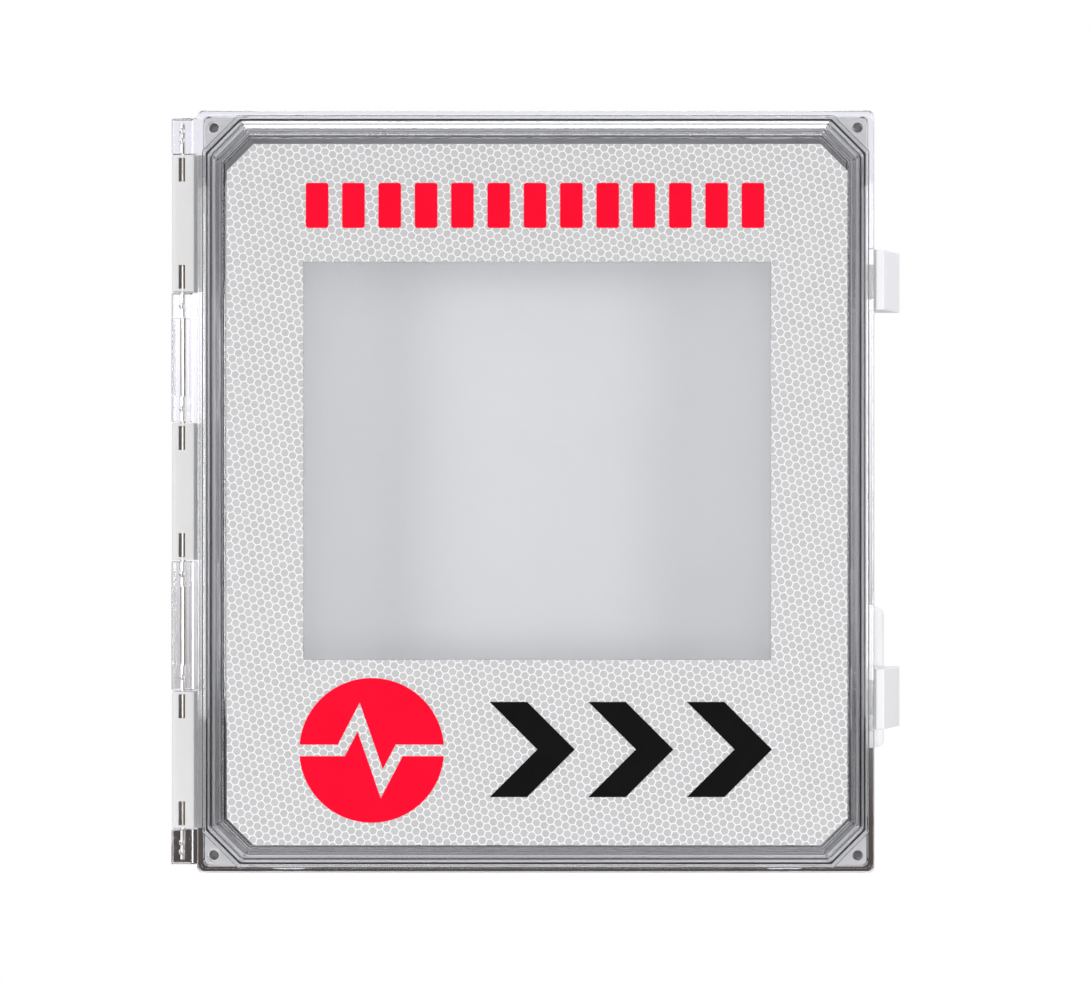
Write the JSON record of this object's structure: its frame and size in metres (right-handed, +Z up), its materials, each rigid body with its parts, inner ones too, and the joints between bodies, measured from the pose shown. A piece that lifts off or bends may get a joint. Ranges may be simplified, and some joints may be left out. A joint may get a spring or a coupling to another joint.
{
  "type": "defibrillator wall cabinet",
  "caption": "Weatherproof wall cabinet for a defibrillator: opaque base, clear raised cover on a side hinge, snap latches, and a honeycomb reflective film with a viewing window.",
  "frame": {"origin": "on the wall, in the middle of the four wall screw holes", "axes": "+Z up, +Y into the wall, +X to the right of a person facing the cover; the cover faces -Y"},
  "size_m": [0.4181, 0.1997, 0.4646],
  "materials": {
    "base_plastic": "fine moulded grain",
    "clear_cover": "clear moulded polycarbonate",
    "latch_white": "smooth moulding",
    "stainless": "drawn wire and turned",
    "brass": "turned",
    "panel_grey": "satin sheet",
    "gasket_foam": "poured foam",
    "reflective_film": "honeycomb retroreflective film",
    "red_vinyl": "cut vinyl",
    "black_vinyl": "cut vinyl",
    "circuit_board": "solder mask",
    "black_plastic": "moulded",
    "cell_case": "sleeved can"
  },
  "bodies": {
    "base": {"base_shell": "base_plastic", "hinge_pin": "stainless", "back_panel": "panel_grey", "panel_inserts": "brass", "panel_screws": "stainless", "panel_washers": "stainless", "foot_inserts": "brass", "foot_screws": "stainless", "foot_top_left": "base_plastic", "foot_top_right": "base_plastic", "foot_bottom_left": "base_plastic", "foot_bottom_right": "base_plastic", "alarm_housing": "latch_white", "alarm_plate": "latch_white", "alarm_board": "circuit_board", "alarm_sounder": "black_plastic", "alarm_cells": "cell_case", "alarm_screws": "stainless", "reed_switch": "latch_white"},
    "cover": {"cover_shell": "clear_cover", "gasket": "gasket_foam", "reflective_film": "reflective_film", "red_blocks": "red_vinyl", "round_mark": "red_vinyl", "black_chevrons": "black_vinyl", "door_magnet": "latch_white", "latch_pin_upper": "stainless", "latch_pin_lower": "stainless"},
    "latch_upper": {"latch_upper": "latch_white"},
    "latch_lower": {"latch_lower": "latch_white"}
  },
  "joints": [
    {"name": "cover_swing", "type": "hinge", "parent": "base", "child": "cover", "pos_m": [-0.20175, -0.163, 0], "axis": [0, 0, -1], "range_deg": [0, 180]},
    {"name": "latch_upper_swing", "type": "hinge", "parent": "cover", "child": "latch_upper", "pos_m": [0.1953, -0.1666, 0.1206], "axis": [0, 0, -1], "range_deg": [0, 50]},
    {"name": "latch_lower_swing", "type": "hinge", "parent": "cover", "child": "latch_lower", "pos_m": [0.1953, -0.1666, -0.1183], "axis": [0, 0, -1], "range_deg": [0, 50]}
  ]
}
